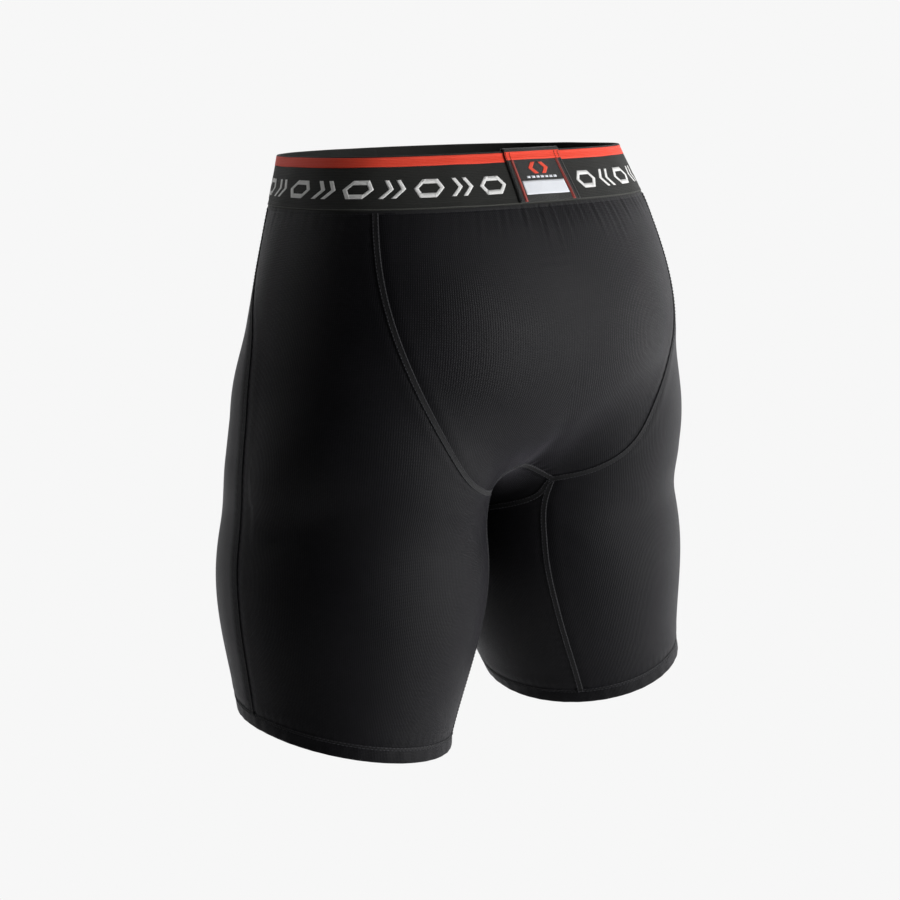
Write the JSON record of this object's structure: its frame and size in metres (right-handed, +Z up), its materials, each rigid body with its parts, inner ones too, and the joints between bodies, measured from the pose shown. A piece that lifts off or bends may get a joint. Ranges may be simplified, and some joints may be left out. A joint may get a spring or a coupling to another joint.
{
  "type": "padded impact shorts",
  "caption": "Close-fitting knit shorts with a woven elastic waistband, flatlock seams, turned hems and thin foam impact pads in mesh pockets inside.",
  "frame": {"origin": "the middle of the waist opening, in the plane of the waistband's top edge", "axes": "+X is the wearer's left, -Y is the wearer's front, +Z is up the body; the legs hang towards -Z"},
  "size_m": [0.4062, 0.2398, 0.4398],
  "materials": {
    "knit": "dark grey warp knit of nylon and elastane, slightly satin",
    "elastic": "black woven elastic with an orange-red top stripe and a white woven motif",
    "thread": "black flatlock thread",
    "label": "black satin label with an orange-red edge and a white strip",
    "foam": "grey closed-cell foam",
    "mesh": "black open mesh"
  },
  "bodies": {
    "root": {"seat_panel": "knit", "front_pouch": "knit", "crotch_gusset": "knit", "outer_leg_panel_left": "knit", "outer_leg_panel_right": "knit", "front_leg_panel_left": "knit", "front_leg_panel_right": "knit", "leg_hem_left": "knit", "leg_hem_right": "knit", "waistband_elastic": "elastic", "back_label": "label", "waist_seam": "thread", "seat_seam": "thread", "gusset_front_seam": "thread", "front_seam_left": "thread", "front_seam_right": "thread", "inseam_left": "thread", "inseam_right": "thread", "pouch_seam_left": "thread", "pouch_seam_right": "thread", "gusset_seam_left": "thread", "gusset_seam_right": "thread", "hem_stitch_left": "thread", "hem_stitch_right": "thread", "tailbone_pad": "foam", "hip_pad_left": "foam", "hip_pad_right": "foam", "thigh_pad_left": "foam", "thigh_pad_right": "foam", "pouch_lining": "mesh", "tailbone_pad_pocket": "mesh", "hip_pad_pocket_left": "mesh", "hip_pad_pocket_right": "mesh", "thigh_pad_pocket_left": "mesh", "thigh_pad_pocket_right": "mesh"}
  },
  "joints": []
}
